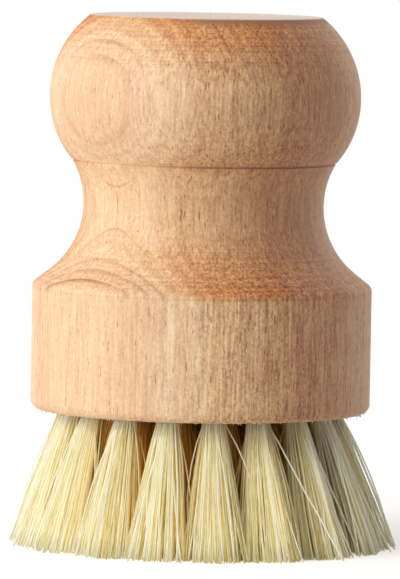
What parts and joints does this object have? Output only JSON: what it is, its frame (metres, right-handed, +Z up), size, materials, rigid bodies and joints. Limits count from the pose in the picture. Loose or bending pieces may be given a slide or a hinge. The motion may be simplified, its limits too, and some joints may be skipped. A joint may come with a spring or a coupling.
{
  "type": "palm brush",
  "caption": "Turned wooden palm brush: a flat-topped knob and waisted neck above a straight band, with rings of plant fibre tufts that splay out below it.",
  "frame": {"origin": "on the turning axis, in the plane of the trimmed bristle tips that the brush stands on", "axes": "+Z up along the turning axis, from the tips to the flat top; the picture looks along +Y, with +X to its right"},
  "size_m": [0.0628, 0.0626, 0.0857],
  "materials": {
    "wood": "unvarnished, finely sanded",
    "fibre": "stiff, lightly glossy plant fibre",
    "staple_wire": "drawn wire"
  },
  "bodies": {
    "root": {"handle": "wood", "tuft_centre": "fibre", "tuft_inner_1": "fibre", "tuft_inner_2": "fibre", "tuft_inner_3": "fibre", "tuft_inner_4": "fibre", "tuft_inner_5": "fibre", "tuft_inner_6": "fibre", "tuft_middle_1": "fibre", "tuft_middle_2": "fibre", "tuft_middle_3": "fibre", "tuft_middle_4": "fibre", "tuft_middle_5": "fibre", "tuft_middle_6": "fibre", "tuft_middle_7": "fibre", "tuft_middle_8": "fibre", "tuft_middle_9": "fibre", "tuft_middle_10": "fibre", "tuft_middle_11": "fibre", "tuft_middle_12": "fibre", "tuft_outer_1": "fibre", "tuft_outer_2": "fibre", "tuft_outer_3": "fibre", "tuft_outer_4": "fibre", "tuft_outer_5": "fibre", "tuft_outer_6": "fibre", "tuft_outer_7": "fibre", "tuft_outer_8": "fibre", "tuft_outer_9": "fibre", "tuft_outer_10": "fibre", "tuft_outer_11": "fibre", "tuft_outer_12": "fibre", "tuft_outer_13": "fibre", "tuft_outer_14": "fibre", "tuft_outer_15": "fibre", "tuft_outer_16": "fibre", "tuft_outer_17": "fibre", "tuft_outer_18": "fibre", "staples_centre": "staple_wire", "staples_inner": "staple_wire", "staples_middle": "staple_wire", "staples_outer": "staple_wire"}
  },
  "joints": []
}
